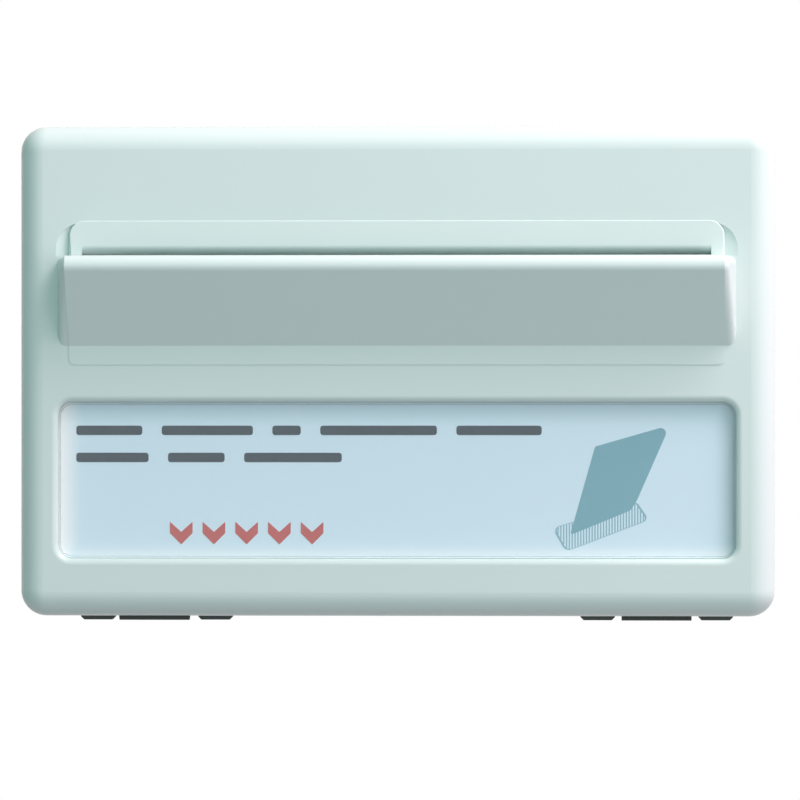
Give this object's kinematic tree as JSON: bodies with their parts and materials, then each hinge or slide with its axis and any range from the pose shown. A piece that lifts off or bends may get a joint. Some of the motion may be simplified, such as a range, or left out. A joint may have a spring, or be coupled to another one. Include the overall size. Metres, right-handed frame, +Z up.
{
  "type": "hotel key card switch",
  "caption": "Wall-mounted card-operated light switch: a card dropped behind the hood presses a lever that works a changeover switch.",
  "frame": {"origin": "midway between the two box-screw slots, on the wall plane behind the mounting frame", "axes": "+X to the right seen from the front, +Y into the wall, +Z up; the front faces -Y"},
  "size_m": [0.12, 0.0441, 0.0787],
  "materials": {
    "cover_plastic": "moulded, glossy",
    "clear_acrylic": "polished, clear",
    "printed_card": "printed, satin",
    "pocket_plastic": "moulded, satin",
    "frame_plastic": "moulded, fine matt",
    "spring_steel": "rolled, bright",
    "zinc_steel": "zinc plated",
    "lever_plastic": "moulded acetal",
    "case_plastic": "moulded, fine matt",
    "plunger_plastic": "moulded acetal",
    "brass": "stamped",
    "silver": "rivet face"
  },
  "bodies": {
    "base": {"mounting_frame": "frame_plastic", "latch_spring_left": "spring_steel", "latch_spring_right": "spring_steel", "lever_pin": "zinc_steel", "lever_spring": "spring_steel", "switch_case": "case_plastic", "switch_case_lid": "case_plastic", "case_screws": "zinc_steel", "common_busbar": "brass", "closed_busbar": "brass", "open_busbar": "brass", "closed_contact": "silver", "open_contact": "silver", "plunger_spring": "spring_steel"},
    "cover": {"front_cover": "cover_plastic", "label_window": "clear_acrylic", "label_card": "printed_card", "card_pocket": "pocket_plastic", "pocket_screws": "zinc_steel"},
    "lever": {"card_lever": "lever_plastic"},
    "plunger": {"switch_plunger": "plunger_plastic", "plunger_clip": "spring_steel"},
    "blade": {"contact_blade": "brass", "moving_contact": "silver"},
    "screw_1": {"terminal_screw_1": "zinc_steel"},
    "cage_1": {"clamp_cage_1": "zinc_steel"},
    "screw_2": {"terminal_screw_2": "zinc_steel"},
    "cage_2": {"clamp_cage_2": "zinc_steel"},
    "screw_3": {"terminal_screw_3": "zinc_steel"},
    "cage_3": {"clamp_cage_3": "zinc_steel"}
  },
  "joints": [
    {"name": "cover_hinge", "type": "hinge", "parent": "base", "child": "cover", "pos_m": [0, -0.0018, 0.0372], "axis": [-1, 0, 0], "range_deg": [0, 30], "deforming": ["latch_spring_left", "latch_spring_right"]},
    {"name": "lever_pivot", "type": "hinge", "parent": "base", "child": "lever", "pos_m": [0, -0.0042, 0.014], "axis": [1, 0, 0], "range_deg": [0, 6], "stiffness_Nm_per_rad": 0.02, "springref_deg": -22.92, "deforming": ["lever_spring"]},
    {"name": "plunger_slide", "type": "slide", "parent": "base", "child": "plunger", "axis": [0, 1, 0], "range_m": [0, 0.00105], "deforming": ["plunger_spring"]},
    {"name": "blade_pivot", "type": "hinge", "parent": "base", "child": "blade", "pos_m": [-0.014, 0.0037, 0.004], "axis": [0, 0, 1], "range_deg": [0, 4.3]},
    {"name": "terminal_1_turn", "type": "hinge", "parent": "base", "child": "screw_1", "pos_m": [-0.012, 0.0175, -0.016], "axis": [0, -1, 0], "range_deg": [0, 1441]},
    {"name": "terminal_1_clamp", "type": "slide", "parent": "base", "child": "cage_1", "axis": [0, 1, 0], "range_m": [0, 0.0024]},
    {"name": "terminal_2_turn", "type": "hinge", "parent": "base", "child": "screw_2", "pos_m": [0, 0.0175, -0.016], "axis": [0, -1, 0], "range_deg": [0, 1441]},
    {"name": "terminal_2_clamp", "type": "slide", "parent": "base", "child": "cage_2", "axis": [0, 1, 0], "range_m": [0, 0.0024]},
    {"name": "terminal_3_turn", "type": "hinge", "parent": "base", "child": "screw_3", "pos_m": [0.012, 0.0175, -0.016], "axis": [0, -1, 0], "range_deg": [0, 1441]},
    {"name": "terminal_3_clamp", "type": "slide", "parent": "base", "child": "cage_3", "axis": [0, 1, 0], "range_m": [0, 0.0024]}
  ],
  "couplings": [
    {"joint": "plunger_slide", "follows": "lever_pivot", "m_per_rad": 0.01},
    {"joint": "blade_pivot", "follows": "lever_pivot", "ratio": 0.71429},
    {"joint": "terminal_1_turn", "follows": "terminal_1_clamp", "rad_per_m": 10472},
    {"joint": "terminal_2_turn", "follows": "terminal_2_clamp", "rad_per_m": 10472},
    {"joint": "terminal_3_turn", "follows": "terminal_3_clamp", "rad_per_m": 10472}
  ]
}
